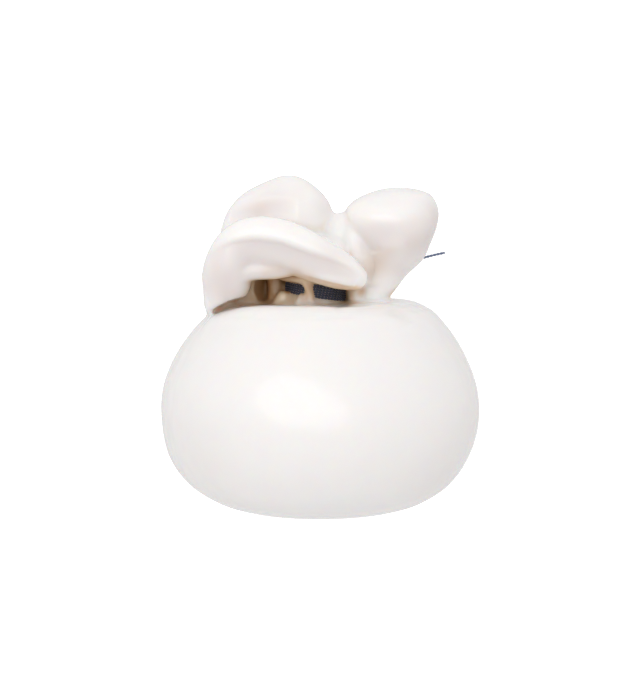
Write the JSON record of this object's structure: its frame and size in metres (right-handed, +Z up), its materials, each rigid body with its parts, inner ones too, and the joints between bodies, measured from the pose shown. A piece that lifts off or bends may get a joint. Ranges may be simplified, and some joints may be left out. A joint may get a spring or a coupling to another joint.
{
  "type": "burrata",
  "caption": "Ball of fresh white cheese with a gathered neck, tied with dark string under a crown of thick folds.",
  "frame": {"origin": "middle of the underside, on the surface that the cheese rests on", "axes": "+Z up through the neck, -Y towards the front with the open flap, +X to the right where the string's end sticks out"},
  "size_m": [0.0839, 0.0814, 0.0871],
  "materials": {
    "fresh_curd": "moist satin white curd",
    "blue_string": "thin dark slate-blue twisted string"
  },
  "bodies": {
    "root": {"cheese": "fresh_curd", "tie_band": "blue_string", "tie_tail": "blue_string"}
  },
  "joints": []
}
